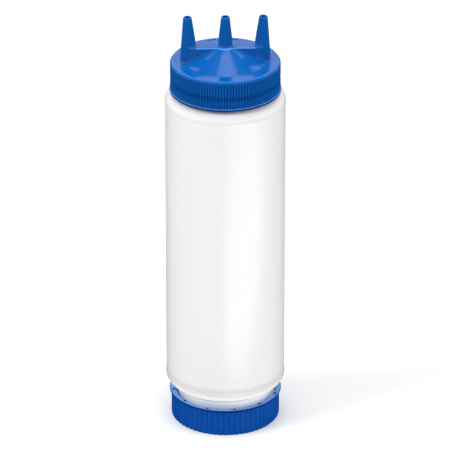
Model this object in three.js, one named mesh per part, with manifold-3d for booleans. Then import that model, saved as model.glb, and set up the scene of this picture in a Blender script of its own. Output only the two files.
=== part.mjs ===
// A dual-ended squeeze bottle for sauce. A blow-moulded body has a screw neck at each end: the upper one
// takes a dispensing cap with three open nozzles, the lower one a ribbed refill cap that is also the foot.
// Millimetres, +Z up. The origin is on the table, at the middle of the foot. The nozzles stand in line along X.

import * as THREE from "three";
import { mergeVertices } from "three/addons/utils/BufferGeometryUtils.js";
import Module from "manifold-3d";

// Neck finish, the same at both ends.
const neckRadius = 27.9;
const neckWall = 1.5;
const neckLength = 16.6;
const neckRootFillet = 1;
const lipRounding = 0.4;

// Bottle body, which stands out from its necks.
const shoulderReach = 7.1;
const shoulderRadius = 5.6;
const bodyWall = 1;
const bodyBetweenShoulders = 187;
const bodyRadius = neckRadius + shoulderReach;

// Sealing rings.
const gasketThickness = 1.2;
const gasketWidth = 3.8;
const seatGap = 0.3;

// What both caps share: room for threads round the neck, a ribbed wall and the broken edges of a flange.
const threadRoom = 1.4;
const skirtWall = 2;
const ribDepth = 0.6;
const flangeEdge = 0.4;
const capBore = neckRadius + threadRoom;
const capRibRoot = capBore + skirtWall;
const capRibTip = capRibRoot + ribDepth;

// Dispensing cap: skirt and deck. The ribs are bevelled where they meet the deck.
const deckThickness = 1.6;
const deckBevelHeight = 1.6;
const deckBevelWidth = 1.3;
const shoulderGap = 1.6;
const dispensingRibs = 120;
const dispensingRibShares = [[0, 0], [1 / 2, 1]];
const flangeReach = 0.4;
const flangeThickness = 1.4;
const capMouthChamfer = 0.5;
const deckRingWidth = 7.9;
const flangeRadius = capRibTip + flangeReach;
const coneBaseRadius = capRibTip - deckRingWidth;

// Dispensing cap: cone, beam and nozzles.
const coneTopRadius = 4.7;
const beamRise = 9.2;
const beamWidth = 8.7;
const beamCorner = 0.5;
const nozzleRise = 27.1;
const nozzleInset = 2.15;
const nozzleTipRadius = 2.42;
const nozzleTaper = THREE.MathUtils.degToRad(6.3);
const nozzleLean = THREE.MathUtils.degToRad(2.3);
const nozzleTipRounding = 0.6;
const nozzleHoleRadius = 1.45;
const nozzleLand = 2.5;
const capWall = 1.4;
const deckDashLength = 5.4;
const deckDashWidth = 1.2;
const deckDashDepth = 0.4;
const deckDashInset = 3.8;
const deckDashAngles = [-93, -142, -41, 78, 104].map(THREE.MathUtils.degToRad);
const nozzleSpread = coneBaseRadius - nozzleInset;
const deckDashCircle = capRibTip - deckDashInset;
const coneRun = (coneBaseRadius - coneTopRadius) / beamRise;

// Refill cap: a cup with a flange round its mouth.
const neckShown = 5.2;
const refillEnd = 1.8;
const footRecess = 2;
const footRingWidth = 5.2;
const footChamfer = 0.4;
const refillRibs = 60;
const refillRibShares = [[0, 0], [0.3, 1], [0.7, 1]];
const rimThickness = 1.2;
const rimReach = 1.1;
const rimMouthChamfer = 1;
const rimNotches = 12;
const rimNotchWidth = 1.6;
const rimNotchReach = 2.1;
const rimNotchDepth = 1.6;
const refillTurn = THREE.MathUtils.degToRad(7.7);
const footRingInner = capRibTip - footRingWidth;

// Facets round each form and along each quarter of an arc.
const bodyFacets = 64;
const capFacets = 72;
const nozzleFacets = 24;
const gasketFacets = 44;
const arcFacets = 4;
const filletFacets = 2;

// How far one solid runs into another that it is joined to, and a cut past the face that it opens.
const overrun = 0.6;

// Levels on the axis, from the table up.
const refillFloor = footRecess + refillEnd;
const lowerLip = refillFloor + seatGap + gasketThickness + seatGap;
const lowerShoulder = lowerLip + neckLength;
const refillRim = lowerShoulder - neckShown;
const bodyMiddle = lowerShoulder + bodyBetweenShoulders / 2;
const upperLip = 2 * bodyMiddle - lowerLip;
const deckUnderside = upperLip + seatGap + gasketThickness + seatGap;
const deckLevel = deckUnderside + deckThickness;
const flangeBottom = 2 * bodyMiddle - lowerShoulder + shoulderGap;
const beamLevel = deckLevel + beamRise;
const nozzleTop = deckLevel + nozzleRise;

const wasm = await Module();
wasm.setup();

// A closed three.js geometry as a solid that can be joined and cut.
function solidFrom(geometry) {
  const bare = geometry.index ? geometry.toNonIndexed() : geometry.clone();
  bare.deleteAttribute("normal");
  bare.deleteAttribute("uv");
  const merged = mergeVertices(bare);
  return new wasm.Manifold(
    new wasm.Mesh({
      numProp: 3,
      vertProperties: merged.attributes.position.array,
      triVerts: new Uint32Array(merged.index.array),
    }),
  );
}

// A solid as a named mesh with flat-shaded facets.
function meshFrom(name, solid, material) {
  const { numProp, vertProperties, triVerts } = solid.getMesh();
  const geometry = new THREE.BufferGeometry();
  geometry.setAttribute("position", new THREE.BufferAttribute(vertProperties, numProp));
  geometry.setIndex(new THREE.BufferAttribute(triVerts, 1));
  const faceted = geometry.toNonIndexed();
  faceted.computeVertexNormals();
  const mesh = new THREE.Mesh(faceted, material);
  mesh.name = name;
  return mesh;
}

// The points of an arc in a profile, from one angle to the other, both in quarter turns from +r towards +z.
function arc(r, z, radius, fromQuarter, toQuarter, steps = arcFacets) {
  return Array.from({ length: steps + 1 }, (_, i) => {
    const angle = ((fromQuarter + ((toQuarter - fromQuarter) * i) / steps) * Math.PI) / 2;
    return [r + radius * Math.cos(angle), z + radius * Math.sin(angle)];
  });
}

// A profile of [r, z] points turned about the Z axis. It starts and ends on the axis, or it closes on itself,
// and it runs anticlockwise, so that its outer wall goes up.
function revolve(profile, facets) {
  const points = profile.map(([r, z]) => new THREE.Vector2(r, z));
  const lathe = new THREE.LatheGeometry(points, facets);
  return lathe.rotateX(Math.PI / 2);
}

// A ring: a profile that stays off the axis, closed on itself and turned.
function revolveRing(profile, facets) {
  return revolve([...profile, profile[0]], facets);
}

// A band of ribs: sections of [z, root radius, tip radius], one over the other, closed flat at both ends.
// The cross shares place the points of one rib, as shares of the pitch and of the height from root to tip.
function ribbedBand(sections, ribs, crossShares) {
  const positions = [];
  for (const [z, root, tip] of sections)
    for (let rib = 0; rib < ribs; rib++)
      for (const [pitchShare, heightShare] of crossShares) {
        const angle = ((rib + pitchShare) / ribs) * 2 * Math.PI;
        const radius = root + (tip - root) * heightShare;
        positions.push(radius * Math.cos(angle), radius * Math.sin(angle), z);
      }
  const columns = ribs * crossShares.length;
  const bottom = positions.length / 3;
  positions.push(0, 0, sections[0][0], 0, 0, sections.at(-1)[0]);
  const index = [];
  for (let c = 0; c < columns; c++) {
    const next = (c + 1) % columns;
    index.push(bottom, next, c);
    for (let s = 0; s < sections.length - 1; s++) {
      const low = s * columns;
      const high = low + columns;
      index.push(low + c, low + next, high + next, low + c, high + next, high + c);
    }
    const last = (sections.length - 1) * columns;
    index.push(bottom + 1, last + c, last + next);
  }
  const geometry = new THREE.BufferGeometry();
  geometry.setAttribute("position", new THREE.Float32BufferAttribute(positions, 3));
  geometry.setIndex(index);
  return geometry;
}

// Half of the bottle's outline, from the lip's inner edge along the outside to the middle of the body.
function bodyOutside() {
  return [
    ...arc(neckRadius - lipRounding, lowerLip + lipRounding, lipRounding, -1, 0, 1),
    ...arc(neckRadius + neckRootFillet, lowerShoulder - neckRootFillet, neckRootFillet, 2, 1, filletFacets),
    ...arc(bodyRadius - shoulderRadius, lowerShoulder + shoulderRadius, shoulderRadius, -1, 0),
  ];
}

// The same half seen from inside, from the middle of the body back to the lip.
function bodyInside() {
  const innerShoulder = shoulderRadius - bodyWall;
  const innerCorner = neckWall - bodyWall + neckRootFillet;
  const bore = neckRadius - neckWall;
  return [
    ...arc(bodyRadius - shoulderRadius, lowerShoulder + shoulderRadius, innerShoulder, 0, -1),
    ...arc(bore + innerCorner, lowerShoulder + bodyWall - innerCorner, innerCorner, 1, 2, filletFacets),
    [bore, lowerLip],
  ];
}

// The bottle body: a thin cylinder, open through a neck at each end, the upper half mirrored from the lower.
function bottleBody() {
  const mirrored = (points) => points.map(([r, z]) => [r, 2 * bodyMiddle - z]).reverse();
  const outside = bodyOutside();
  const inside = bodyInside();
  const profile = [...outside, ...mirrored(outside), ...mirrored(inside), ...inside];
  return solidFrom(revolveRing(profile, bodyFacets));
}

// A flat sealing ring, which lies on a lip and fits the bore of its cap.
function gasket(bottom) {
  const outer = capBore - seatGap;
  const inner = outer - gasketWidth;
  const top = bottom + gasketThickness;
  return solidFrom(
    revolveRing([[inner, bottom], [outer, bottom], [outer, top], [inner, top]], gasketFacets),
  );
}

// The radius of a nozzle's outside or bore, at a depth below its tip.
function nozzleRadiusAt(tipRadius, depth) {
  return tipRadius + depth * Math.tan(nozzleTaper);
}

// A nozzle's outside, with its tip at the origin: a slim cone with a rounded tip.
function nozzleOutside(length) {
  return revolve(
    [
      [0, -length - overrun],
      [nozzleRadiusAt(nozzleTipRadius, length + overrun), -length - overrun],
      ...arc(nozzleTipRadius - nozzleTipRounding, -nozzleTipRounding, nozzleTipRounding, 0, 1),
      [0, 0],
    ],
    nozzleFacets,
  );
}

// A nozzle's bore, with its tip at the origin: a short straight land at the tip and a taper below it.
function nozzleBore(length) {
  const foot = nozzleRadiusAt(nozzleHoleRadius, length - nozzleLand);
  return revolve(
    [
      [0, -length],
      [foot, -length],
      [nozzleHoleRadius, -nozzleLand],
      [nozzleHoleRadius, overrun],
      [0, overrun],
    ],
    nozzleFacets,
  );
}

// Puts what was made at the origin at the tip of one of the three nozzles: -1 left, 0 middle, 1 right.
function atNozzle(geometry, side) {
  return geometry.rotateY(side * nozzleLean).translate(side * nozzleSpread, 0, nozzleTop);
}

// Where a side nozzle's axis meets a level.
function nozzleAxisAt(level) {
  return nozzleSpread - (nozzleTop - level) * Math.tan(nozzleLean);
}

// A bar along X with rounded ends, between two levels.
function bar(halfLength, width, bottom, top) {
  const outline = new THREE.Shape();
  outline.absarc(halfLength, 0, width / 2, -Math.PI / 2, Math.PI / 2);
  outline.absarc(-halfLength, 0, width / 2, Math.PI / 2, (3 * Math.PI) / 2);
  const extruded = new THREE.ExtrudeGeometry(outline, {
    depth: top - bottom,
    bevelEnabled: false,
    curveSegments: nozzleFacets / 2,
  });
  return extruded.translate(0, 0, bottom);
}

// The flat-topped beam that joins the three nozzles, with its two long top edges broken.
function beam() {
  const half = beamWidth / 2;
  const outline = new THREE.Shape();
  outline.moveTo(-half, deckLevel - overrun);
  outline.lineTo(half, deckLevel - overrun);
  outline.lineTo(half, beamLevel - beamCorner);
  outline.lineTo(half - beamCorner, beamLevel);
  outline.lineTo(beamCorner - half, beamLevel);
  outline.lineTo(-half, beamLevel - beamCorner);
  const length = 2 * nozzleAxisAt(beamLevel);
  const extruded = new THREE.ExtrudeGeometry(outline, { depth: length, bevelEnabled: false });
  return extruded.rotateX(Math.PI / 2).rotateZ(Math.PI / 2).translate(-length / 2, 0, 0);
}

// The plain turned part of the dispensing cap: flange, skirt without its ribs, and the cone above the deck.
function dispensingCore() {
  const flangeTop = flangeBottom + flangeThickness;
  const skirtCore = capRibRoot - overrun;
  const skirtTop = deckLevel - deckBevelHeight;
  return revolve(
    [
      [0, flangeBottom],
      [flangeRadius - flangeEdge, flangeBottom],
      [flangeRadius, flangeBottom + flangeEdge],
      [flangeRadius, flangeTop - flangeEdge],
      [flangeRadius - flangeEdge, flangeTop],
      [skirtCore, flangeTop],
      [skirtCore, skirtTop],
      [coneBaseRadius + deckBevelHeight * coneRun, skirtTop],
      [coneTopRadius, beamLevel],
      [0, beamLevel],
    ],
    capFacets,
  );
}

// The deck and the fine ribs round the dispensing cap's skirt, which end in a bevel at the deck.
function dispensingRibBand() {
  return ribbedBand(
    [
      [flangeBottom + flangeThickness - flangeEdge, capRibRoot, capRibTip],
      [deckLevel - deckBevelHeight, capRibRoot, capRibTip],
      [deckLevel, capRibRoot - deckBevelWidth, capRibTip - deckBevelWidth],
    ],
    dispensingRibs,
    dispensingRibShares,
  );
}

// The hollow under the dispensing cap: the bore that takes the neck, the cone's inside, the channel under
// the beam and the three nozzle bores.
function dispensingHollow() {
  const channelTop = beamLevel - capWall;
  const channelHalf = nozzleAxisAt(channelTop);
  const channelWidth = beamWidth - 2 * capWall;
  const bore = revolve(
    [
      [0, flangeBottom - overrun],
      [capBore + capMouthChamfer + overrun, flangeBottom - overrun],
      [capBore, flangeBottom + capMouthChamfer],
      [capBore, deckUnderside],
      [coneBaseRadius - capWall, deckUnderside],
      [coneTopRadius - capWall, channelTop],
      [0, channelTop],
    ],
    capFacets,
  );
  const channel = bar(channelHalf, channelWidth, deckUnderside - overrun, channelTop);
  const boreLength = nozzleTop - channelTop + overrun;
  const bores = [-1, 0, 1].map((side) => solidFrom(atNozzle(nozzleBore(boreLength), side)));
  return bores.reduce((sum, each) => sum.add(each), solidFrom(bore).add(solidFrom(channel)));
}

// One short dash sunk in the deck.
function deckDash(angle) {
  const dash = new THREE.BoxGeometry(deckDashWidth, deckDashLength, 2 * deckDashDepth);
  return solidFrom(dash.translate(deckDashCircle, 0, deckLevel).rotateZ(angle));
}

// The dispensing cap, moulded in one piece with its nozzles.
function dispensingCap() {
  const middle = atNozzle(nozzleOutside(nozzleTop - beamLevel), 0);
  const sides = [-1, 1].map((side) => atNozzle(nozzleOutside(nozzleRise), side));
  const outside = [dispensingRibBand(), beam(), middle, ...sides].reduce(
    (sum, geometry) => sum.add(solidFrom(geometry)),
    solidFrom(dispensingCore()),
  );
  const marked = deckDashAngles.reduce((sum, angle) => sum.subtract(deckDash(angle)), outside);
  return marked.subtract(dispensingHollow());
}

// The plain turned part of the refill cap: a cup, open upwards, that stands on a ring round its sunk end.
function refillCore() {
  const rimRadius = capRibTip + rimReach;
  const rimUnderside = refillRim - rimThickness;
  const skirtCore = capRibRoot - overrun;
  return revolve(
    [
      [0, footRecess],
      [footRingInner, footRecess],
      [footRingInner + footChamfer, 0],
      [skirtCore, 0],
      [skirtCore, rimUnderside],
      [rimRadius - flangeEdge, rimUnderside],
      [rimRadius, rimUnderside + flangeEdge],
      [rimRadius, refillRim - flangeEdge],
      [rimRadius - flangeEdge, refillRim],
      [capBore + rimMouthChamfer, refillRim],
      [capBore, refillRim - rimMouthChamfer],
      [capBore, refillFloor],
      [0, refillFloor],
    ],
    capFacets,
  );
}

// The ribs round the refill cap, broken at the foot and running up into its flange.
function refillRibBand() {
  return ribbedBand(
    [
      [0, capRibRoot - footChamfer, capRibTip - footChamfer],
      [footChamfer, capRibRoot, capRibTip],
      [refillRim - rimThickness + flangeEdge, capRibRoot, capRibTip],
    ],
    refillRibs,
    refillRibShares,
  );
}

// One notch in the inner edge of the refill cap's rim.
function rimNotch(angle) {
  const notch = new THREE.BoxGeometry(2 * rimNotchReach, rimNotchWidth, 2 * rimNotchDepth);
  return solidFrom(notch.translate(capBore, 0, refillRim).rotateZ(angle));
}

// The refill cap, turned to where its thread stops.
function refillCap() {
  const bore = revolve(
    [
      [0, refillFloor],
      [capBore, refillFloor],
      [capBore, refillRim + overrun],
      [0, refillRim + overrun],
    ],
    capFacets,
  );
  const sunkEnd = revolve(
    [
      [0, -overrun],
      [footRingInner, -overrun],
      [footRingInner, footRecess],
      [0, footRecess],
    ],
    capFacets,
  );
  const ribs = solidFrom(refillRibBand()).subtract(solidFrom(bore)).subtract(solidFrom(sunkEnd));
  const cup = solidFrom(refillCore()).add(ribs);
  const pitch = (2 * Math.PI) / rimNotches;
  const notched = Array.from({ length: rimNotches }, (_, i) => rimNotch(i * pitch)).reduce(
    (sum, notch) => sum.subtract(notch),
    cup,
  );
  return notched.rotate([0, 0, THREE.MathUtils.radToDeg(refillTurn)]);
}

const milky = new THREE.MeshStandardMaterial({ color: 0xeeeeec, roughness: 0.35, metalness: 0 });
const blue = new THREE.MeshStandardMaterial({ color: 0x0a56b4, roughness: 0.32, metalness: 0 });
const deepBlue = new THREE.MeshStandardMaterial({ color: 0x074a9e, roughness: 0.4, metalness: 0 });
const sealWhite = new THREE.MeshStandardMaterial({ color: 0xe4e6e4, roughness: 0.7, metalness: 0 });
const sealWhiteLower = sealWhite.clone();

const bottle = new THREE.Group();
bottle.add(
  meshFrom("bottle_body", bottleBody(), milky),
  meshFrom("dispensing_cap", dispensingCap(), blue),
  meshFrom("dispensing_cap_gasket", gasket(upperLip + seatGap), sealWhite),
  meshFrom("refill_cap", refillCap(), deepBlue),
  meshFrom("refill_cap_gasket", gasket(refillFloor + seatGap), sealWhiteLower),
);

export default bottle;
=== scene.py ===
"""Dresses a dual-ended squeeze bottle: milky body, blue three-nozzle cap, and a blue refill cap as its foot.

The mesh code works in millimetres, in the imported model's frame, and each mesh is made in metres.
"""

import logging
import math
from dataclasses import dataclass, field
from enum import Enum

import bpy
import numpy as np
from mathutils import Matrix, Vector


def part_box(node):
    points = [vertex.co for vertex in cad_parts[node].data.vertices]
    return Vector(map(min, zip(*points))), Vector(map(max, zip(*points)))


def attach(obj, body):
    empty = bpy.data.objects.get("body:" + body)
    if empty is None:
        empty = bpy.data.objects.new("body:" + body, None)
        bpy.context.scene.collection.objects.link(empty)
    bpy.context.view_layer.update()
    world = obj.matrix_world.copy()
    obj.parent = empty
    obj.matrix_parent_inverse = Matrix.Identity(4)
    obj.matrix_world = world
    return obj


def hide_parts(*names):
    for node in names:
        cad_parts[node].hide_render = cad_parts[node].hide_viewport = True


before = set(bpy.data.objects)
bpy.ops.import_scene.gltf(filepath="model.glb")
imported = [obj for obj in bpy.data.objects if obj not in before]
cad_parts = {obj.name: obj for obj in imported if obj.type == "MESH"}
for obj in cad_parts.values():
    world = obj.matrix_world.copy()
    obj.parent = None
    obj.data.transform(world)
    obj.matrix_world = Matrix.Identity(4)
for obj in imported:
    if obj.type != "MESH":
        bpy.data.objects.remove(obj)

import openvdb
from bpy.types import ID, Material, Node, NodeTree, Object
from mathutils import Vector

log = logging.getLogger("squeeze_bottle")

MM = 0.001
TURN = 2 * math.pi
TINY = 1e-6
CREASE_DEGREES = 32
THREAD_STEP = 0.3
FLOW_RANGE = (0.3, 0.7)
HOOP_STEPS = 96

Pair = tuple[float, float]
Profile = list[Pair]
Colour = tuple[float, float, float]


def box_mm(node: str) -> tuple[np.ndarray, np.ndarray]:
    """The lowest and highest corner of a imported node, in millimetres."""
    low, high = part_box(node)
    return np.array(low) / MM, np.array(high) / MM


def arc(r: float, z: float, radius: float, start: float, end: float, steps: int) -> Profile:
    """Points of an arc in a profile.

    Args:
        r: the centre's distance from the axis.
        z: the centre's level.
        radius: the arc's radius.
        start: the first angle in degrees, from outwards towards up.
        end: the last angle in degrees.
        steps: how many spans the arc has.

    Returns:
        The points, both ends included.
    """
    spread = np.radians(np.linspace(start, end, steps + 1))
    return [(r + radius * math.cos(a), z + radius * math.sin(a)) for a in spread]


def straight(a: Pair, b: Pair, step: float) -> Profile:
    """Points along a straight stretch of a profile, without its two ends.

    Args:
        a: where it starts, as a radius and a level.
        b: where it ends.
        step: the widest gap allowed.

    Returns:
        The points in between.
    """
    count = max(1, math.ceil(math.dist(a, b) / step))
    shares = np.arange(1, count) / count
    return [(a[0] + (b[0] - a[0]) * s, a[1] + (b[1] - a[1]) * s) for s in shares]


def place_object(name: str, data: ID) -> Object:
    """A new object in the scene.

    Args:
        name: the object's name.
        data: the mesh, lamp or camera that it holds.

    Returns:
        The object, linked to the scene.
    """
    item = bpy.data.objects.new(name, data)
    bpy.context.scene.collection.objects.link(item)
    return item


def make_object(name: str, points: np.ndarray, faces: list) -> Object:
    """An object from points in millimetres, with faces that point out of the solid.

    Args:
        name: the object's name.
        points: one row of x, y, z for each point.
        faces: the corner numbers of each face.

    Returns:
        The new object.
    """
    mesh = bpy.data.meshes.new(name)
    mesh.from_pydata((points * MM).tolist(), [], faces)
    mesh.validate()
    return place_object(name, mesh)


@dataclass
class TurnedForm:
    """A profile turned round the axis, with one radius and one level for each row and column."""

    profile: Profile
    columns: int

    def __post_init__(self) -> None:
        """Spreads the profile over the columns."""
        r, z = np.array(self.profile).T
        self.bearings = np.arange(self.columns) / self.columns * TURN
        self.radii = np.repeat(r[:, None], self.columns, axis=1)
        self.levels = np.repeat(z[:, None], self.columns, axis=1)

    def swell(self, amount: np.ndarray, rows: np.ndarray) -> None:
        """Moves the wall out by an amount for each row and column, on the rows that are marked."""
        self.radii += amount * rows[:, None]

    def object(self, name: str) -> Object:
        """The closed mesh. A row on the axis becomes a point, and a profile off it closes on itself.

        Args:
            name: the object's name.

        Returns:
            The new object.
        """
        flat = np.stack([np.cos(self.bearings), np.sin(self.bearings)])
        points, first = [], []
        for radii, levels in zip(self.radii, self.levels):
            first.append(sum(map(len, points)))
            on_axis = radii.max() < TINY
            ring = np.stack([radii * flat[0], radii * flat[1], levels], axis=1)
            points.append(ring[:1] if on_axis else ring)
        rows = len(first)
        closed = len(points[0]) > 1
        faces = []
        for i in range(rows if closed else rows - 1):
            low, high = i, (i + 1) % rows
            for c in range(self.columns):
                n = (c + 1) % self.columns
                corners = [first[low] + c, first[low] + n, first[high] + n, first[high] + c]
                if len(points[low]) == 1:
                    corners = [first[low], first[high] + n, first[high] + c]
                elif len(points[high]) == 1:
                    corners = [first[low] + c, first[low] + n, first[high]]
                faces.append(corners)
        return make_object(name, np.concatenate(points), faces)


def prism(name: str, outline: np.ndarray, low: float, high: float) -> Object:
    """A flat outline, anticlockwise from above, raised from one level to another.

    Args:
        name: the object's name.
        outline: one row of x, y for each corner.
        low: the lower level.
        high: the upper level.

    Returns:
        The new object.
    """
    count = len(outline)
    bottom = np.column_stack([outline, np.full(count, low)])
    top = np.column_stack([outline, np.full(count, high)])
    sides = [[i, (i + 1) % count, count + (i + 1) % count, count + i] for i in range(count)]
    faces = [list(range(count))[::-1], list(range(count, 2 * count)), *sides]
    return make_object(name, np.concatenate([bottom, top]), faces)


def stadium(half_length: float, width: float, steps: int) -> np.ndarray:
    """The outline of a bar along X with round ends, anticlockwise.

    Args:
        half_length: from the middle to the centre of a round end.
        width: across the bar.
        steps: how many points each end has.

    Returns:
        One row of x, y for each point.
    """
    right = np.radians(np.linspace(-90, 90, steps))
    ends = [(half_length + width / 2 * np.cos(right), width / 2 * np.sin(right))]
    ends.append((-half_length - width / 2 * np.cos(right), -width / 2 * np.sin(right)))
    return np.concatenate([np.column_stack(end) for end in ends])


def spun(outline: np.ndarray, turn: float) -> np.ndarray:
    """A flat outline turned anticlockwise about the axis, by an angle in radians."""
    return outline @ np.array([[math.cos(turn), math.sin(turn)], [-math.sin(turn), math.cos(turn)]])


class Join(Enum):
    """How one solid changes another."""

    ADD = "UNION"
    CUT = "DIFFERENCE"


def combine(piece: Object, other: Object, how: Join) -> None:
    """Adds another closed solid to a piece, or cuts the piece with it. The other one is used up.

    Args:
        piece: the solid that is changed.
        other: the solid that changes it.
        how: whether it adds or cuts.
    """
    change = piece.modifiers.new(how.name, "BOOLEAN")
    change.solver = "MANIFOLD"
    change.operation = how.value
    change.object = other
    graph = bpy.context.evaluated_depsgraph_get()
    changed = bpy.data.meshes.new_from_object(piece.evaluated_get(graph))
    old = piece.data
    piece.modifiers.clear()
    piece.data = changed
    bpy.data.meshes.remove(old)
    bpy.data.meshes.remove(other.data)


def shade(piece: Object, crease_degrees: float) -> None:
    """Shades a piece smoothly, with a crease wherever two faces meet at more than an angle."""
    piece.data.shade_smooth()
    piece.data.set_sharp_from_angle(angle=math.radians(crease_degrees))


def smooth_union(a: np.ndarray, b: np.ndarray, blend: float) -> np.ndarray:
    """The distance to two forms joined with a fillet, from the distance to each."""
    share = np.clip(0.5 + 0.5 * (b - a) / blend, 0, 1)
    return b + (a - b) * share - blend * share * (1 - share)


def smooth_overlap(a: np.ndarray, b: np.ndarray, blend: float) -> np.ndarray:
    """The distance to what two forms share, with its edge rounded."""
    return -smooth_union(-a, -b, blend)


def eased(share: np.ndarray) -> np.ndarray:
    """A share from 0 to 1 that starts and ends gently."""
    share = np.clip(share, 0, 1)
    return share * share * (3 - 2 * share)


@dataclass(frozen=True)
class ScrewThread:
    """A right-hand thread ridge on a neck or in a cap. Lengths in millimetres, bearings in radians."""

    start_level: float
    start_bearing: float
    lead: float = 5.2
    turns: float = 1.5
    depth: float = 1.0
    crest_width: float = 0.9
    root_width: float = 2.2
    run_out: float = math.radians(22)

    def ridge(self, form: TurnedForm) -> np.ndarray:
        """How far the ridge stands off the wall.

        Args:
            form: the turned form that carries it.

        Returns:
            The height for each row and column of the form.
        """
        height = np.zeros_like(form.levels)
        around = (form.bearings[None, :] - self.start_bearing) % TURN
        for turn in range(math.ceil(self.turns) + 1):
            swept = around + turn * TURN
            centre = self.start_level + self.lead * swept / TURN
            flank = (self.root_width / 2 - np.abs(form.levels - centre)) * 2
            flank = eased(flank / (self.root_width - self.crest_width))
            ends = eased(swept / self.run_out) * eased((self.turns * TURN - swept) / self.run_out)
            height = np.maximum(height, self.depth * flank * ends)
        return height

    def mate(self, offset: float, start_level: float) -> "ScrewThread":
        """The thread that runs beside this one, an offset along the axis from it, starting at a level."""
        swept = (start_level - self.start_level - offset) / self.lead * TURN
        return ScrewThread(start_level, self.start_bearing + swept)


def fill(node: Node, values: dict[str | int, object]) -> None:
    """Sets a node's inputs by their names or numbers."""
    for name, value in values.items():
        node.inputs[name].default_value = value


def add_nodes(tree: NodeTree, *kinds: str) -> list[Node]:
    """New shader nodes in a tree, one for each kind that is named."""
    return [tree.nodes.new(f"ShaderNode{kind}") for kind in kinds]


def wire(tree: NodeTree, *rows: tuple[Node, str | int, Node, str | int]) -> None:
    """Links nodes. Each row gives a node and its output, then a node and its input."""
    for source, output, target, entry in rows:
        tree.links.new(source.outputs[output], target.inputs[entry])


def new_group(name: str, inputs: dict[str, float], outputs: tuple[str, ...]) -> tuple[NodeTree, Node, Node]:
    """A node group with ports that all carry plain numbers.

    Args:
        name: the group's name.
        inputs: the default value of each input, by name.
        outputs: the name of each output.

    Returns:
        The group, the node with its inputs and the node with its outputs.
    """
    group = bpy.data.node_groups.new(name, "ShaderNodeTree")
    for port, default in inputs.items():
        socket = group.interface.new_socket(port, in_out="INPUT", socket_type="NodeSocketFloat")
        socket.default_value = default
    for port in outputs:
        group.interface.new_socket(port, in_out="OUTPUT", socket_type="NodeSocketFloat")
    return group, group.nodes.new("NodeGroupInput"), group.nodes.new("NodeGroupOutput")


class Shades:
    """Node groups that more than one material uses, each made once."""

    GRAIN_DETAIL = 3
    FLOW_DETAIL = 2
    FLOW_STRETCH = (1, 1, 0.35)

    def __init__(self) -> None:
        """Makes the groups."""
        self.moulded_grain = self._moulded_grain()
        self.wall_band = self._wall_band()

    def _moulded_grain(self) -> NodeTree:
        """The skin of a moulded part: fine grain as a height, and slow flow marks as a mask from 0 to 1.

        Returns:
            The node group.
        """
        inputs = {"Grain Scale": 1500.0, "Flow Scale": 40.0}
        group, entry, leave = new_group("moulded_grain", inputs, ("Grain", "Flow"))
        place, stretch, grain, flow = add_nodes(group, "TexCoord", "Mapping", "TexNoise", "TexNoise")
        fill(stretch, {"Scale": self.FLOW_STRETCH})
        fill(grain, {"Detail": self.GRAIN_DETAIL})
        fill(flow, {"Detail": self.FLOW_DETAIL})
        wire(
            group,
            (place, "Object", grain, "Vector"),
            (place, "Object", stretch, "Vector"),
            (stretch, "Vector", flow, "Vector"),
            (entry, "Grain Scale", grain, "Scale"),
            (entry, "Flow Scale", flow, "Scale"),
            (grain, "Fac", leave, "Grain"),
            (flow, "Fac", leave, "Flow"),
        )
        return group

    def _wall_band(self) -> NodeTree:
        """A mask that grows from one radius to another, and rises and falls softly between two levels.

        Returns:
            The node group.
        """
        inputs = {"Clear": 0.0319, "Full": 0.0312}
        inputs |= {"Low": 0.0, "Low Full": 0.001, "High Full": 0.999, "High": 1.0}
        group, entry, leave = new_group("wall_band", inputs, ("Mask",))
        place, axes, flat, reach = add_nodes(group, "TexCoord", "SeparateXYZ", "CombineXYZ", "VectorMath")
        across, rise, fall = add_nodes(group, "MapRange", "MapRange", "MapRange")
        reach.operation = "LENGTH"
        rise.interpolation_type = fall.interpolation_type = "SMOOTHSTEP"
        fill(fall, {"To Max": 0})
        wire(
            group,
            (place, "Object", axes, "Vector"),
            (axes, "X", flat, "X"),
            (axes, "Y", flat, "Y"),
            (flat, "Vector", reach, 0),
            (reach, "Value", across, "Value"),
            (entry, "Clear", across, "From Min"),
            (entry, "Full", across, "From Max"),
            (axes, "Z", rise, "Value"),
            (entry, "Low", rise, "From Min"),
            (entry, "Low Full", rise, "From Max"),
            (across, "Result", rise, "To Max"),
            (axes, "Z", fall, "Value"),
            (entry, "High Full", fall, "From Min"),
            (entry, "High", fall, "From Max"),
            (rise, "Result", fall, "To Min"),
            (fall, "Result", leave, "Mask"),
        )
        return group


class Tone(Enum):
    """The linear colours that bands of a wall take: painted shade, painted light, painted highlights and a
    painted reflection.
    """

    # Painted shade: a grey ring above the body's lower heel.
    PAINTED_HEEL_SHADE = (0.64, 0.64, 0.64)
    # Painted shade: a grey ring below the body's upper shoulder.
    PAINTED_SHOULDER_SHADE = (0.7, 0.7, 0.7)
    # Painted light that makes the lower neck and heel whiter.
    PAINTED_NECK_LIGHT = (0.97, 0.98, 0.98)
    # Painted shade in the crease between the lower heel and the neck.
    CREASE = (0.52, 0.53, 0.56)
    RIB_SHADE = (0.001, 0.05, 0.22)
    WAIST_SHADE = (0.001, 0.045, 0.22)
    FACE_SHADE = (0.001, 0.025, 0.12)
    # Painted highlights on the flange's ledge, the deck edge and the beam edge.
    LEDGE_HIGHLIGHT = (0.1, 0.3, 0.7)
    DECK_EDGE_HIGHLIGHT = (0.02, 0.19, 0.6)
    BEAM_EDGE_HIGHLIGHT = (0.06, 0.27, 0.75)
    REFILL_RIB_SHADE = (0.001, 0.045, 0.23)
    # Painted reflection that makes the top of the refill cap's rim paler.
    RIM_PAINTED_REFLECTION = (0.12, 0.26, 0.56)


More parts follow.
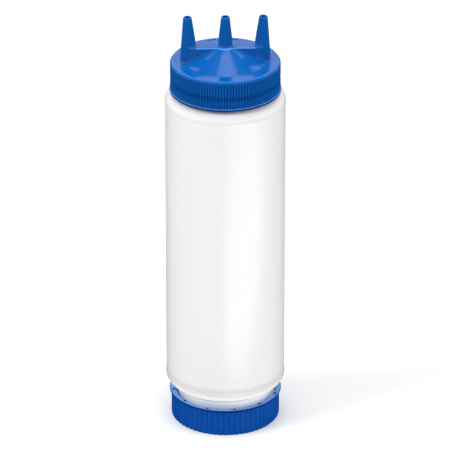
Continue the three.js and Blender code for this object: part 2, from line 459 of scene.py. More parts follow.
@dataclass(frozen=True)
class Band:
    """A painted shade or light between two levels of a wall, which grows from one radius to another. Lengths
    in millimetres.
    """

    low: float
    high: float
    tone: Tone
    strength: float
    softness: float = 0.1
    clear: float = 0.0
    full: float = 1.0

    def ports(self) -> dict[str, float]:
        """The values for the inputs of the wall band group, in metres.

        Returns:
            The value of each input, by name.
        """
        values = {"Clear": self.clear, "Full": self.full, "Low": self.low, "High": self.high}
        values |= {"Low Full": self.low + self.softness, "High Full": self.high - self.softness}
        return {name: value * MM for name, value in values.items()}


@dataclass(frozen=True)
class PlasticFinish:
    """One moulded plastic. Colours are linear, scales are per metre and depths in metres."""

    name: str
    colour: Colour
    deep_colour: Colour
    roughness: Pair
    specular: float = 0.5
    grain_scale: float = 1500.0
    flow_scale: float = 40.0
    grain_depth: float = 0.000003

    def material(self, shades: Shades, bands: tuple[Band, ...] = ()) -> Material:
        """The material: the grain makes its bump, and the flow marks and any bands of painted shade or light
        its colour.

        Args:
            shades: the shared node groups.
            bands: where painted shade or painted light gives the wall another tone.

        Returns:
            The new material.
        """
        material = bpy.data.materials.new(self.name)
        material.use_nodes = True
        tree = material.node_tree
        shader = tree.nodes["Principled BSDF"]
        fill(shader, {"Specular IOR Level": self.specular})
        skin, tone, gloss, bump = add_nodes(tree, "Group", "Mix", "MapRange", "Bump")
        skin.node_tree, tone.data_type = shades.moulded_grain, "RGBA"
        fill(skin, {"Grain Scale": self.grain_scale, "Flow Scale": self.flow_scale})
        fill(tone, {"A": (*self.deep_colour, 1), "B": (*self.colour, 1)})
        fill(gloss, dict(zip(("From Min", "From Max", "To Min", "To Max"), (*FLOW_RANGE, *self.roughness))))
        fill(bump, {"Strength": 1, "Distance": self.grain_depth})
        wire(tree, (skin, "Flow", tone, "Factor"))
        for band in bands:
            mask, weight, blend = add_nodes(tree, "Group", "Math", "Mix")
            mask.node_tree, weight.operation, blend.data_type = shades.wall_band, "MULTIPLY", "RGBA"
            fill(mask, band.ports())
            fill(weight, {1: band.strength})
            fill(blend, {"B": (*band.tone.value, 1)})
            wire(tree, (mask, "Mask", weight, 0), (weight, 0, blend, "Factor"), (tone, "Result", blend, "A"))
            tone = blend
        wire(
            tree,
            (tone, "Result", shader, "Base Color"),
            (skin, "Flow", gloss, "Value"),
            (gloss, "Result", shader, "Roughness"),
            (skin, "Grain", bump, "Height"),
            (bump, "Normal", shader, "Normal"),
        )
        return material


MILKY = PlasticFinish(
    name="milky_polyethylene",
    colour=(0.802, 0.802, 0.802),
    deep_colour=(0.784, 0.784, 0.784),
    roughness=(0.29, 0.35),
    specular=1.0,
    flow_scale=25.0,
)
CAP_BLUE = PlasticFinish(
    name="dispensing_cap_blue",
    colour=(0.002, 0.088, 0.347),
    deep_colour=(0.002, 0.078, 0.318),
    roughness=(0.10, 0.13),
)
REFILL_BLUE = PlasticFinish(
    name="refill_cap_blue",
    colour=(0.001, 0.074, 0.375),
    deep_colour=(0.001, 0.067, 0.343),
    roughness=(0.17, 0.23),
    specular=0.25,
)
SEAL_WHITE = PlasticFinish(
    name="seal_foam",
    colour=(0.78, 0.79, 0.78),
    deep_colour=(0.72, 0.73, 0.72),
    roughness=(0.6, 0.75),
    grain_scale=2500.0,
    grain_depth=0.00005,
)


@dataclass
class BottleBody:
    """The blow-moulded body, open through a threaded neck at each end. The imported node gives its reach."""

    wall: float = 1.0
    shoulder_radius: float = 5.6
    panel_recess: float = 0.15
    panel_step: float = 0.9
    neck_radius: float = 27.9
    neck_wall: float = 1.5
    neck_length: float = 16.6
    neck_root_fillet: float = 1.0
    lip_rounding: float = 0.4
    thread_below_lip: float = 3.1
    upper_thread_bearing: float = math.radians(40)
    panel_start: float = 0.3
    columns: int = 240
    low: float = field(init=False)
    high: float = field(init=False)
    radius: float = field(init=False)
    upper_thread: ScrewThread = field(init=False)
    lower_thread: ScrewThread = field(init=False)

    def __post_init__(self) -> None:
        """Reads the node's box and places the two threads by the lips."""
        corner, other = box_mm("bottle_body")
        self.low, self.high = corner[2], other[2]
        self.radius = other[0]
        first = ScrewThread(self.low + self.thread_below_lip, 0.0)
        rise = first.lead * first.turns
        self.lower_thread = first
        start = self.high - self.thread_below_lip - rise
        self.upper_thread = ScrewThread(start, self.upper_thread_bearing)

    def bands(self) -> tuple[Band, ...]:
        """Painted shade: greyer rings by the shoulders and in the lower crease. Painted light: a whiter lower
        neck and heel.

        Returns:
            The bands, the lowest layer first.
        """
        heel = self.low + self.neck_length
        shoulder = self.high - self.neck_length
        return (
            Band(heel + 4, heel + 11, Tone.PAINTED_HEEL_SHADE, strength=0.75, softness=3.0),
            Band(shoulder - 7, shoulder + 1, Tone.PAINTED_SHOULDER_SHADE, strength=0.45, softness=2.0),
            Band(self.low - 2, heel + 5, Tone.PAINTED_NECK_LIGHT, strength=1.0, softness=1.5),
            Band(heel - 2.4, heel + 0.3, Tone.CREASE, strength=1.0, softness=0.7),
        )

    def outline(self) -> tuple[Profile, Profile]:
        """Half of the body's outline, from the lower lip to the middle.

        Returns:
            The outside going up, and the inside coming back to the lip.
        """
        shoulder = self.low + self.neck_length
        corner_r, corner_z = self.radius - self.shoulder_radius, shoulder + self.shoulder_radius
        lip, root = self.lip_rounding, self.neck_root_fillet
        bore = self.neck_radius - self.neck_wall
        inner_root = self.neck_wall - self.wall + root
        neck_foot = (self.neck_radius, shoulder - root)
        neck_edge = (self.neck_radius, self.low + lip)
        panel, shares = corner_z + self.panel_start, np.linspace(0, 1, 6)
        reach = self.radius - self.panel_recess * eased(shares)
        outside = [
            *arc(self.neck_radius - lip, self.low + lip, lip, -90, 0, 4),
            *straight(neck_edge, neck_foot, THREAD_STEP),
            *arc(self.neck_radius + root, shoulder - root, root, 180, 90, 5),
            *arc(corner_r, corner_z, self.shoulder_radius, -90, 0, 14),
            *[(r, panel + self.panel_step * share) for r, share in zip(reach, shares)],
            (reach[-1], panel + 2 * self.panel_step),
        ]
        inside = [
            *arc(corner_r, corner_z, self.shoulder_radius - self.wall, 0, -90, 12),
            *arc(bore + inner_root, shoulder + self.wall - inner_root, inner_root, 90, 180, 5),
            *arc(bore + lip, self.low + lip, lip, 180, 270, 4),
        ]
        return outside, inside

    def build(self) -> Object:
        """Builds the body with both threads on it.

        Returns:
            The body as one closed mesh.
        """
        outside, inside = self.outline()
        middle = self.low + self.high

        def mirrored(points: Profile) -> Profile:
            """The same stretch of outline at the other end, in the order that follows on."""
            return [(r, middle - z) for r, z in reversed(points)]

        form = TurnedForm([*outside, *mirrored(outside), *mirrored(inside), *inside], self.columns)
        on_neck = np.abs(form.radii[:, 0] - self.neck_radius) < TINY
        for thread in (self.lower_thread, self.upper_thread):
            form.swell(thread.ridge(form), on_neck)
        return form.object("milky_bottle")


@dataclass
class ScrewCap:
    """What the two caps share: a threaded bore, and a wall with grip ribs round it."""

    body: BottleBody
    bore: float = 29.3
    bore_corner: float = 0.5
    bore_columns: int = 240
    overrun: float = 0.6
    rib_tip: float = 31.9
    rib_depth: float = 0.7
    rib_sharpness: float = 0.8
    rib_bearing: float = 0.0
    ribs: int = 120
    columns_per_rib: int = 8

    def ribbed_form(self, profile: Profile, rows: np.ndarray, ends: np.ndarray) -> TurnedForm:
        """The turned outside, with the valleys between the ribs sunk into it.

        Args:
            profile: the outside's profile.
            rows: which of its rows carry ribs.
            ends: how deep each row's valleys are, 0 and below for flat, 1 and above for full.

        Returns:
            The form.
        """
        form = TurnedForm(profile, self.ribs * self.columns_per_rib)
        wave = np.sin((form.bearings - self.rib_bearing) * self.ribs / 2)
        valley = 1 - np.abs(wave) ** self.rib_sharpness
        form.swell(-self.rib_depth * eased(ends)[:, None] * valley[None, :], rows)
        return form

    def cut_bore(self, name: str, profile: Profile, mouth: float, thread: ScrewThread) -> Object:
        """The cutter for the bore, which leaves the cap's thread standing.

        Args:
            name: the cutter's name.
            profile: the bore's profile.
            mouth: the level of the mouth, beside which the wall stays plain.
            thread: the thread.

        Returns:
            The cutter.
        """
        form = TurnedForm(profile, self.bore_columns)
        on_wall = np.abs(form.radii[:, 0] - self.bore) < TINY
        inside = np.abs(form.levels[:, 0] - mouth) > THREAD_STEP
        form.swell(-thread.ridge(form), on_wall & inside)
        return form.object(name)


@dataclass
class DispensingCap(ScrewCap):
    """The top cap: a ribbed skirt, a deck with a low cone, and a beam that joins three open nozzles."""

    seal_room: float = 1.8
    deck_thickness: float = 1.6
    mouth_chamfer: float = 0.5
    rib_start: float = 0.1
    rib_fade_low: float = 0.3
    rib_fade_high: float = 0.9
    skirt_rows: int = 40
    flange_radius: float = 32.3
    flange_thickness: float = 1.4
    flange_rounding: float = 0.4
    waist: float = 0.12
    waist_level: float = 6.2
    waist_width: float = 3.2
    bevel_height: float = 1.6
    bevel_width: float = 1.3
    deck_rounding: float = 0.45
    cone_base: float = 24.0
    cone_top: float = 4.7
    cone_fillet: float = 1.2
    row_step: float = 1.0
    bevel_step: float = 0.25
    beam_rise: float = 9.2
    beam_half_width: float = 4.3
    beam_draft: float = 0.01
    beam_rounding: float = 0.9
    crest_reach: Pair = (7.5, 8.0)
    crest_root: float = 0.9
    crest_skin: float = 0.04
    crest_blend: float = 0.7
    cone_blend: float = 1.0
    nozzle_rise: float = 27.1
    nozzle_spread: float = 21.85
    nozzle_lean: float = math.radians(2.3)
    nozzle_taper: float = math.radians(6.3)
    nozzle_tip: float = 2.42
    nozzle_fillet: float = 0.8
    nozzle_rounding: float = 0.8
    nozzle_hole: float = 1.45
    nozzle_chamfer: float = 0.25
    chamfer_overcut: float = 0.05
    nozzle_land: float = 2.5
    wall: float = 1.4
    voxel: float = 0.2
    dash_bearings: tuple[float, ...] = (-93, -142, -41, 78, 104)
    dash_circle: float = 28.1
    dash_length: float = 5.4
    dash_width: float = 1.2
    dash_depth: float = 0.4
    thread_offset: float = -2.45
    thread_start: float = 2.8

    def __post_init__(self) -> None:
        """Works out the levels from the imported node."""
        low, _ = box_mm("dispensing_cap")
        self.flange_low = low[2]
        self.underside = self.body.high + self.seal_room
        self.deck = self.underside + self.deck_thickness
        self.beam = self.deck + self.beam_rise
        self.tip = self.deck + self.nozzle_rise

    def bands(self) -> tuple[Band, ...]:
        """Painted shade between the ribs, round the waist and on the flange's face, and painted highlights on
        the flange's ledge, the deck edge and the beam edge.

        Returns:
            The bands, the lowest layer first.
        """
        low, high = self.flange_low + self.flange_thickness, self.deck - self.bevel_height
        tip, waist = self.rib_tip, low + self.waist_level
        edge, inside = tip - self.bevel_width, self.cone_base
        return (
            Band(low, high, Tone.RIB_SHADE, 0.55, clear=tip - 0.1, full=tip - self.rib_depth),
            Band(waist - 2.4, waist + 2.0, Tone.WAIST_SHADE, 0.75, 1.9, clear=inside + 1, full=inside + 2),
            Band(self.flange_low - 1, low - 0.2, Tone.FACE_SHADE, 1.0, 0.3, clear=tip, full=tip + 0.3),
            Band(low - 0.3, low + 0.3, Tone.LEDGE_HIGHLIGHT, 0.9, clear=tip + 0.1, full=tip + 0.25),
            Band(high + 0.9, self.deck - 0.02, Tone.DECK_EDGE_HIGHLIGHT, 0.8, clear=edge - 0.5, full=edge - 0.1),
            Band(self.beam - 0.75, self.beam - 0.05, Tone.BEAM_EDGE_HIGHLIGHT, 0.8, clear=18, full=17.5),
        )

    def shell(self) -> Object:
        """The turned outside: flange, ribbed skirt with a faint waist, bevelled deck edge and cone.

        Returns:
            The outside as one closed mesh.
        """
        edge, flange_high = self.flange_rounding, self.flange_low + self.flange_thickness
        rib_high = self.deck - self.bevel_height
        levels = np.linspace(flange_high, rib_high, self.skirt_rows)
        offset = (levels - flange_high - self.waist_level) / (self.waist_width / 2)
        skirt = [(self.rib_tip - self.waist * math.exp(-o * o), z) for o, z in zip(offset, levels)]
        deck_edge = self.rib_tip - self.bevel_width
        bevel_angle = math.degrees(math.atan2(self.bevel_width, self.bevel_height))
        rounded = self.deck_rounding
        pull = rounded * math.tan(math.radians(45 - bevel_angle / 2))
        bevel = straight((self.rib_tip, rib_high), (deck_edge, self.deck), self.bevel_step)
        cone_angle = math.degrees(math.atan2(self.beam_rise, self.cone_base - self.cone_top))
        fillet = self.cone_fillet
        set_back = fillet * math.tan(math.radians(cone_angle / 2))
        brim = arc(deck_edge - pull, self.deck - rounded, rounded, bevel_angle, 90, 5)
        foot = arc(self.cone_base + set_back, self.deck + fillet, fillet, 270, 270 - cone_angle, 5)
        cone_edge = (self.cone_top, self.beam)
        profile = [
            (0, self.flange_low),
            *arc(self.flange_radius - edge / 2, self.flange_low + edge / 2, edge / 2, -90, 0, 3),
            *arc(self.flange_radius - edge, flange_high - edge, edge, 0, 90, 5),
            *skirt,
            *[point for point in bevel if point[1] < self.deck - rounded],
            *brim,
            *straight(brim[-1], foot[0], self.row_step),
            *foot,
            *straight(foot[-1], cone_edge, self.row_step),
            cone_edge,
            (0, self.beam),
        ]
        radii, heights = np.array(profile).T
        ribbed = (heights >= flange_high - TINY) & (radii > deck_edge - pull) & (radii < self.rib_tip + TINY)
        above, below = heights - flange_high + self.rib_start, self.deck - rounded / 2 - heights
        ends = np.minimum(above / self.rib_fade_low, below / self.rib_fade_high)
        return self.ribbed_form(profile, ribbed, ends).object("three_nozzle_cap")

    def crest(self) -> Object:
        """The beam and the three nozzles, with fillets between them and towards the cone.

        Returns:
            The crest as one smooth closed mesh.
        """
        reach = (self.nozzle_spread + self.crest_reach[0], self.crest_reach[1])
        low = self.deck - self.crest_root
        margin = 3 * self.voxel
        spans = (-reach[0], reach[0]), (-reach[1], reach[1]), (low, self.tip)
        axes = [np.arange(start - margin, end + margin, self.voxel) for start, end in spans]
        x, y, z = np.meshgrid(*axes, indexing="ij", sparse=True)
        beam_side = np.abs(y) - self.beam_half_width - (self.beam - z) * self.beam_draft
        solid = smooth_overlap(beam_side, z - self.beam, self.beam_rounding)
        solid = np.maximum(solid, np.abs(x) - self.axis_at(self.beam))
        for side in (-1, 0, 1):
            solid = smooth_union(solid, self.nozzle(x, y, z, side), self.nozzle_fillet)
        rise, run = self.beam_rise, self.cone_base - self.cone_top
        slope = math.hypot(rise, run)
        distance = np.hypot(x, y)
        cone = ((distance - self.cone_base) * rise + (z - self.deck) * run) / slope
        cone = np.maximum(cone, z - self.beam)
        base = smooth_union(cone, z - self.deck + 0 * distance, self.cone_blend) + self.crest_skin
        solid = smooth_union(solid, base, self.crest_blend)
        for outside in (np.abs(x) - reach[0], np.abs(y) - reach[1], low - z):
            solid = np.maximum(solid, outside)
        grid = openvdb.FloatGrid()
        grid.copyFromArray(np.ascontiguousarray(solid, dtype=np.float32))
        points, quads = grid.convertToQuads(isovalue=0)
        points = points * self.voxel + [axis[0] for axis in axes]
        return make_object("crest", points, quads[:, ::-1].tolist())

    def nozzle(self, x: np.ndarray, y: np.ndarray, z: np.ndarray, side: int) -> np.ndarray:
        """The distance to one nozzle's outside.

        Args:
            x, y, z: the places, as arrays that spread over a grid.
            side: -1 left, 0 middle, 1 right.

        Returns:
            The distance at each place, below 0 inside.
        """
        lean = side * self.nozzle_lean
        across, up = x - side * self.nozzle_spread, z - self.tip
        depth = -across * math.sin(lean) - up * math.cos(lean)
        sideways = across * math.cos(lean) - up * math.sin(lean)
        distance = np.hypot(sideways, y)
        radius = self.nozzle_tip + depth * math.tan(self.nozzle_taper)
        cone = (distance - radius) * math.cos(self.nozzle_taper)
        cone = smooth_overlap(cone, -depth, self.nozzle_rounding)
        return np.maximum(cone, depth - self.nozzle_rise - self.deck_thickness / 2)

    def axis_at(self, level: float) -> float:
        """How far out a side nozzle's axis is at a level."""
        return self.nozzle_spread - (self.tip - level) * math.tan(self.nozzle_lean)

    def hollow(self) -> list[Object]:
        """What is cut out of the cap.

        Returns:
            The cutters: threaded bore with the cone's inside, channel under the beam, and nozzle bores.
        """
        channel_high = self.beam - self.wall
        thread = self.body.upper_thread.mate(self.thread_offset, self.flange_low + self.thread_start)
        mouth = (self.bore, self.flange_low + self.mouth_chamfer)
        corner = self.bore_corner
        wall_end = (self.bore, self.underside - corner)
        profile = [
            (0, self.flange_low - self.overrun),
            (self.bore + self.mouth_chamfer + self.overrun, self.flange_low - self.overrun),
            mouth,
            *straight(mouth, wall_end, THREAD_STEP),
            wall_end,
            *arc(self.bore - corner, self.underside - corner, corner, 0, 90, 4)[1:],
            (self.cone_base - self.wall, self.underside),
            (self.cone_top - self.wall, channel_high),
            (0, channel_high),
        ]
        width = 2 * (self.beam_half_width - self.wall)
        outline = stadium(self.axis_at(channel_high), width, steps=17)
        bore = self.cut_bore("bore", profile, mouth[1], thread)
        cuts = [bore, prism("channel", outline, self.underside - self.overrun, channel_high)]
        return cuts + [self.nozzle_bore(side, channel_high) for side in (-1, 0, 1)]

    def nozzle_bore(self, side: int, channel_high: float) -> Object:
        """One nozzle's bore: a short land below a broken edge, then a taper down to the channel.

        Args:
            side: -1 left, 0 middle, 1 right.
            channel_high: the level of the channel's top.

        Returns:
            The cutter.
        """
        length = self.tip - channel_high + self.overrun
        foot = self.nozzle_hole + (length - self.nozzle_land) * math.tan(self.nozzle_taper)
        profile = [
            (0, -length),
            (foot, -length),
            (self.nozzle_hole, -self.nozzle_land),
            (self.nozzle_hole, -self.nozzle_chamfer),
            (self.nozzle_hole + self.nozzle_chamfer, self.chamfer_overcut),
            (self.nozzle_hole + self.nozzle_chamfer, self.overrun),
            (0, self.overrun),
        ]
        cut = TurnedForm(profile, columns=48).object("nozzle_bore")
        lean = side * self.nozzle_lean
        for vertex in cut.data.vertices:
            px, py, pz = vertex.co
            vertex.co = (
                px * math.cos(lean) + pz * math.sin(lean) + side * self.nozzle_spread * MM,
                py,
                pz * math.cos(lean) - px * math.sin(lean) + self.tip * MM,
            )
        return cut

    def dash(self, bearing: float) -> Object:
        """One short dash sunk in the deck.

        Args:
            bearing: where it lies, in degrees from the X axis.

        Returns:
            The cutter.
        """
        outline = stadium((self.dash_length - self.dash_width) / 2, self.dash_width, steps=9)
        turned = spun(outline + [0, self.dash_circle], math.radians(bearing - 90))
        return prism("dash", turned, self.deck - self.dash_depth, self.deck + self.dash_depth)

    def build(self) -> Object:
        """Joins the outside and the crest, and cuts what is hollow.

        Returns:
            The whole cap as one closed mesh.
        """
        cap = self.shell()
        combine(cap, self.crest(), Join.ADD)
        for cut in [*self.hollow(), *map(self.dash, self.dash_bearings)]:
            combine(cap, cut, Join.CUT)
        return cap


@dataclass
class RefillCap(ScrewCap):
    """The lower cap: a ribbed cup, open upwards, that stands on a ring round its sunk end."""

    end: float = 1.8
    recess: float = 2.0
    ring_inner: float = 26.5
    ring_corner: float = 0.4
    ring_slope: Pair = (0.2, 0.3)
    ring_land: float = 0.5
    mouth_chamfer: float = 1.0
    rib_bearing: float = math.radians(7.7)
    rib_sharpness: float = 0.7
    rib_start: float = 0.6
    rib_fade: float = 0.8
    wall_rows: int = 24
    ribs: int = 60
    columns_per_rib: int = 12
    rim_radius: float = 33.0
    rim_thickness: float = 1.2
    rim_rounding: float = 0.4
    foot_rounding: float = 0.5
    pockets: int = 12
    pocket_width: float = 1.6
    pocket_length: float = 2.1
    pocket_depth: float = 1.5
    pocket_circle: float = 31.2
    thread_offset: float = 2.45
    thread_start: float = 3.3

    def __post_init__(self) -> None:
        """Reads the cap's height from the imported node."""
        low, high = box_mm("refill_cap")
        self.foot, self.rim = low[2], high[2]
        self.floor = self.foot + self.recess + self.end

    def bands(self) -> tuple[Band, ...]:
        """Painted shade between the ribs and on the rim's face, and a painted reflection that makes the top
        of the rim paler.

        Returns:
            The bands, the lowest layer first.
        """
        tip, low = self.rib_tip, self.rim - self.rim_thickness
        ring, bore = self.ring_inner, self.bore
        return (
            Band(self.foot + 1, low, Tone.REFILL_RIB_SHADE, 0.5, clear=tip - 0.1, full=tip - self.rib_depth),
            Band(low - 1, self.rim - 0.1, Tone.FACE_SHADE, 0.9, 0.4, clear=ring - 1.5, full=ring - 0.5),
            Band(self.rim - 0.05, self.rim + 1, Tone.RIM_PAINTED_REFLECTION, 0.85, 0.03, clear=bore, full=bore + 0.1),
        )

    def shell(self) -> Object:
        """The turned outside: sunk end, foot ring, ribbed wall, and the flange round the mouth.

        Returns:
            The outside as one closed mesh.
        """
        rib_high = self.rim - self.rim_thickness
        levels = np.linspace(self.foot + self.foot_rounding, rib_high, self.wall_rows)
        wall = [(self.rib_tip, z) for z in levels]
        round_r = self.rib_tip - self.foot_rounding
        recess = self.foot + self.recess
        edge = self.rim_rounding
        profile = [
            (0, recess),
            (self.ring_inner - self.ring_corner, recess),
            (self.ring_inner, recess - self.ring_corner),
            (self.ring_inner + self.ring_slope[0], self.foot + self.ring_slope[1]),
            (self.ring_inner + self.ring_land, self.foot),
            *arc(round_r, levels[0], self.foot_rounding, -90, 0, 5)[:-1],
            *wall,
            *arc(self.rim_radius - edge / 2, rib_high + edge / 2, edge / 2, -90, 0, 3),
            *arc(self.rim_radius - edge, self.rim - edge, edge, 0, 90, 5),
            (0, self.rim),
        ]
        radii, heights = np.array(profile).T
        outer = (radii > self.bore) & (radii < self.rib_tip + TINY)
        ends = (heights - self.foot + self.rib_start) / self.rib_fade
        return self.ribbed_form(profile, outer, ends).object("ribbed_refill_cap")

    def hollow(self) -> Object:
        """The threaded bore that takes the lower neck.

        Returns:
            The cutter.
        """
        thread = self.body.lower_thread.mate(self.thread_offset, self.floor + self.thread_start)
        mouth = (self.bore, self.rim - self.mouth_chamfer)
        corner = self.bore_corner
        profile = [
            (0, self.floor),
            *arc(self.bore - corner, self.floor + corner, corner, -90, 0, 4),
            *straight((self.bore, self.floor + corner), mouth, THREAD_STEP),
            mouth,
            (self.bore + self.mouth_chamfer + self.overrun, self.rim + self.overrun),
            (0, self.rim + self.overrun),
        ]
        return self.cut_bore("refill_bore", profile, mouth[1], thread)

    def pocket(self, number: int) -> Object:
        """One small pocket sunk in the top of the rim.

        Args:
            number: which one, counted anticlockwise from 0.

        Returns:
            The cutter.
        """
        outline = stadium((self.pocket_length - self.pocket_width) / 2, self.pocket_width, steps=7)
        outline = outline[:, ::-1] * [1, -1] + [self.pocket_circle, 0]
        turned = spun(outline, self.rib_bearing + number * TURN / self.pockets)
        return prism("pocket", turned, self.rim - self.pocket_depth, self.rim + self.overrun)

    def build(self) -> Object:
        """Cuts the bore and the pockets out of the outside.

        Returns:
            The whole cap as one closed mesh.
        """
        cap = self.shell()
        for cut in [self.hollow(), *map(self.pocket, range(self.pockets))]:
            combine(cap, cut, Join.CUT)
        return cap


@dataclass
class SealingRing:
    """A flat sealing ring with softened edges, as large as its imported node."""

    node: str
    width: float = 3.8
    softening: float = 0.25

    def build(self, name: str) -> Object:
        """Builds the ring.

        Args:
            name: the object's name.

        Returns:
            The ring as a closed mesh.
        """
        low, high = box_mm(self.node)
        outer, soft = high[0], self.softening
        inner = outer - self.width
        profile = [
            *arc(inner + soft, low[2] + soft, soft, 180, 270, 3),
            *arc(outer - soft, low[2] + soft, soft, 270, 360, 3),
            *arc(outer - soft, high[2] - soft, soft, 0, 90, 3),
            *arc(inner + soft, high[2] - soft, soft, 90, 180, 3),
        ]
        return TurnedForm(profile, columns=128).object(name)


def area_lamp(name: str, size: Pair, power: float) -> Object:
    """A rectangular lamp that the camera doesn't see.

    Args:
        name: the lamp's name.
        size: its width and height in metres.
        power: its power in watts.

    Returns:
        The lamp, not yet in its place.
    """
    data = bpy.data.lights.new(name, "AREA")
    data.shape = "RECTANGLE"
    data.size, data.size_y, data.energy = *size, power
    lamp = place_object(name, data)
    lamp.visible_camera = False
    return lamp


@dataclass(frozen=True)
class SoftBox:
    """A soft lamp that faces the bottle. Degrees, with bearing 90 on the right, metres and watts."""

    name: str
    bearing: float
    height: float
    distance: float
    size: Pair
    power: float
    lights: bool = True
    mirrored: bool = True
    passes_wall: bool = True
    caps_only: bool = False

    def place(self, aim: Vector) -> Object:
        """Hangs the lamp.

        Args:
            aim: the point that it faces.

        Returns:
            The lamp.
        """
        lamp = area_lamp(self.name, self.size, self.power)
        back = direction(self.bearing, self.height)
        lamp.location = aim + back * self.distance
        lamp.rotation_mode = "QUATERNION"
        lamp.rotation_quaternion = back.to_track_quat("Z", "Y")
        lamp.visible_diffuse, lamp.visible_glossy = self.lights, self.mirrored
        return lamp


def direction(bearing: float, height: float) -> Vector:
    """The unit vector from the bottle towards a bearing and height in degrees. Bearing 0 is in front."""
    a, e = math.radians(bearing), math.radians(height)
    return Vector((math.sin(a) * math.cos(e), -math.cos(a) * math.cos(e), math.sin(e)))


@dataclass(frozen=True)
class TableCard:
    """A lit patch of the table in front that the satin body mirrors. Metres, and glow is its brightness."""

    name: str
    middle: Pair
    size: Pair
    glow: float
    lift: float = 0.001

    def place(self) -> Object:
        """Lays the patch on the table, facing up. Only glossy surfaces see it.

        Returns:
            The lamp that lights it.
        """
        card = area_lamp(self.name, self.size, self.glow * math.pi * self.size[0] * self.size[1])
        card.location = (*self.middle, self.lift)
        card.rotation_euler = (math.pi, 0, 0)
        card.visible_diffuse = False
        return card


SOFT_BOXES = (
    SoftBox("left_key", -72, 38, 1.6, (0.8, 0.8), 13.8, mirrored=False, passes_wall=False),
    SoftBox("front_low", 12, 22, 1.8, (1.0, 0.6), 7.0, mirrored=False),
    SoftBox("right_fill", 75, 25, 1.8, (0.8, 0.8), 12.0, mirrored=False),
    SoftBox("top", 180, 82, 1.6, (1.2, 1.2), 12.0, mirrored=False),
    SoftBox("cap_top", 180, 82, 1.6, (1.2, 1.2), 14.0, mirrored=False, caps_only=True),
    SoftBox("overhead_card", 171, 75, 1.25, (0.40, 0.5), 1.0, lights=False),
    SoftBox("back_left_card", -145, 47, 1.45, (0.44, 0.34), 0.5, lights=False),
    SoftBox("back_right_card", 141, 47, 1.45, (0.44, 0.34), 0.5, lights=False),
)
TABLE_CARDS = (
    TableCard("table_left", (-0.14, -0.2725), (0.28, 0.335), 0.6),
    TableCard("table_right", (0.2, -0.2725), (0.4, 0.335), 2.1),
)


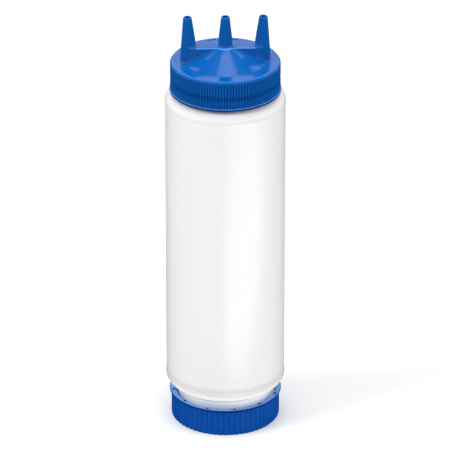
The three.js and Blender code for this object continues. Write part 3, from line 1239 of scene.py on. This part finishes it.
@dataclass
class Studio:
    """The camera, the pale floor, the tent wall and the soft lamps. Places in metres."""

    aim: Vector = field(default_factory=lambda: Vector((-0.0002, 0, 0.1228)))
    distance: float = 3.0
    elevation: float = 26.48
    azimuth: float = -2.3
    lens: float = 410.7
    sensor: float = 36.0
    camera_reach: float = 50.0
    ambient: float = 0.36
    tent_radius: float = 2.5
    tent_low: float = 0.05
    tent_high: float = 1.86
    tent_glow: float = 0.9
    floor_reach: float = 6.0
    floor_opening: float = 0.0304
    floor_tone: float = 0.92
    floor_glow: float = 0.05
    floor_far_glow: float = 0.75
    floor_near: float = 0.4
    floor_far: float = 1.3

    def place_camera(self) -> None:
        """Stands a long lens on the photograph's line of sight."""
        back = direction(self.azimuth, self.elevation)
        data = bpy.data.cameras.new("camera")
        data.lens, data.sensor_width = self.lens, self.sensor
        data.clip_end = self.camera_reach
        camera = place_object("camera", data)
        camera.location = self.aim + back * self.distance
        camera.rotation_mode = "QUATERNION"
        camera.rotation_quaternion = (-back).to_track_quat("-Z", "Y")
        bpy.context.scene.camera = camera

    def light(self) -> None:
        """Even light from all round that only dull surfaces see, white to the camera."""
        world = bpy.data.worlds.new("studio")
        world.use_nodes = True
        world.cycles_visibility.glossy = False
        bpy.context.scene.world = world
        tree = world.node_tree
        background = tree.nodes["Background"]
        fill(background, {"Color": (1, 1, 1, 1)})
        rays, level = add_nodes(tree, "LightPath", "Mix")
        fill(level, {"A": self.ambient, "B": 1.0})
        wire(tree, (rays, "Is Camera Ray", level, "Factor"), (level, "Result", background, "Strength"))

    def lamps(self, wall: Object, pieces: list[Object]) -> None:
        """Places the lamps and cards. The wall passes most lamps' light, and it alone mirrors the table.

        Args:
            wall: the milky body.
            pieces: the dense pieces, which stop all light.
        """
        milky, dense = bpy.data.collections.new("milky_wall"), bpy.data.collections.new("dense_pieces")
        milky.objects.link(wall)
        for piece in pieces:
            dense.objects.link(piece)
        for box in SOFT_BOXES:
            lamp = box.place(self.aim)
            if box.passes_wall:
                lamp.light_linking.blocker_collection = dense
            if box.caps_only:
                lamp.light_linking.receiver_collection = dense
        for card in TABLE_CARDS:
            card.place().light_linking.receiver_collection = milky

    def backdrop(self, name: str, inner: Pair, outer: Pair) -> tuple[Object, NodeTree]:
        """A round band between two rings, with a dull material. It isn't part of the bottle.

        Args:
            name: the object's and the material's name.
            inner: the radius and level of the first ring.
            outer: the radius and level of the second ring.

        Returns:
            The object and its material's nodes.
        """
        angles = [i * TURN / HOOP_STEPS for i in range(HOOP_STEPS)]
        rings = [(r * math.cos(a), r * math.sin(a), level) for r, level in (inner, outer) for a in angles]
        turns = [(i, (i + 1) % HOOP_STEPS) for i in range(HOOP_STEPS)]
        mesh = bpy.data.meshes.new(name)
        mesh.from_pydata(rings, [], [(i, HOOP_STEPS + i, HOOP_STEPS + n, n) for i, n in turns])
        screen = place_object(name, mesh)
        material = bpy.data.materials.new(name)
        material.use_nodes = True
        shader = material.node_tree.nodes["Principled BSDF"]
        fill(shader, {"Roughness": 1, "Specular IOR Level": 0, "Emission Color": (1, 1, 1, 1)})
        mesh.materials.append(material)
        return screen, material.node_tree

    def tent(self) -> None:
        """The pale wall round the table that glossy surfaces mirror. Nothing else sees it."""
        low, high = (self.tent_radius, self.tent_low), (self.tent_radius, self.tent_high)
        screen, tree = self.backdrop("tent_wall", low, high)
        glow = {"Base Color": (0, 0, 0, 1), "Emission Strength": self.tent_glow}
        fill(tree.nodes["Principled BSDF"], glow)
        screen.visible_camera = screen.visible_diffuse = screen.visible_shadow = False
        screen.visible_transmission = False

    def floor(self) -> None:
        """A wide pale floor that stays white to the camera and keeps the bottle's shadow.

        It is open under the foot, where the bottle hides it, so that the lowered refill cap isn't filled.
        """
        ground, tree = self.backdrop("pale_floor", (self.floor_opening, 0), (self.floor_reach, 0))
        ground.visible_glossy = False
        shader = tree.nodes["Principled BSDF"]
        fill(shader, {"Base Color": (self.floor_tone, self.floor_tone, self.floor_tone, 1)})
        rays, place, away, spread = add_nodes(tree, "LightPath", "TexCoord", "VectorMath", "MapRange")
        glow = tree.nodes.new("ShaderNodeMath")
        away.operation, glow.operation = "LENGTH", "MULTIPLY"
        spread.interpolation_type = "SMOOTHSTEP"
        fill(spread, {"From Min": self.floor_near, "From Max": self.floor_far})
        fill(spread, {"To Min": self.floor_glow, "To Max": self.floor_far_glow})
        wire(
            tree,
            (place, "Object", away, 0),
            (away, "Value", spread, "Value"),
            (rays, "Is Camera Ray", glow, 0),
            (spread, "Result", glow, 1),
            (glow, 0, shader, "Emission Strength"),
        )

    def build(self) -> None:
        """Sets the camera, the lights, the tent wall and the floor."""
        self.place_camera()
        self.light()
        self.tent()
        self.floor()
        bpy.context.scene.view_settings.view_transform = "Standard"


def dress(piece: Object, node: str, body: str, material: Material) -> Object:
    """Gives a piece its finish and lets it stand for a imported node.

    Args:
        piece: the visual mesh.
        node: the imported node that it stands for.
        body: the body that it moves with.
        material: the finish.

    Returns:
        The same piece.
    """
    piece.data.materials.clear()
    piece.data.materials.append(material)
    shade(piece, CREASE_DEGREES)
    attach(piece, body)
    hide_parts(node)
    log.info("%s: %d faces", piece.name, len(piece.data.polygons))
    return piece


def main() -> None:
    """Builds the studio and the five pieces, in order."""
    logging.basicConfig(level=logging.INFO, format="%(message)s")
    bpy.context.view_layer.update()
    studio = Studio()
    studio.build()
    shades = Shades()
    body = BottleBody()
    white = SEAL_WHITE.material(shades)
    wall = dress(body.build(), "bottle_body", "bottle", MILKY.material(shades, body.bands()))
    upper, lower = DispensingCap(body), RefillCap(body)
    upper_blue = CAP_BLUE.material(shades, upper.bands())
    lower_blue = REFILL_BLUE.material(shades, lower.bands())
    dense = [
        dress(upper.build(), "dispensing_cap", "dispensing_cap", upper_blue),
        dress(lower.build(), "refill_cap", "refill_cap", lower_blue),
    ]
    for node, name, rides in (
        ("dispensing_cap_gasket", "upper_sealing_ring", "upper_seal"),
        ("refill_cap_gasket", "lower_sealing_ring", "lower_seal"),
    ):
        dense.append(dress(SealingRing(node).build(name), node, rides, white))
    studio.lamps(wall, dense)
    bpy.context.view_layer.update()


if __name__ == "__main__":
    main()
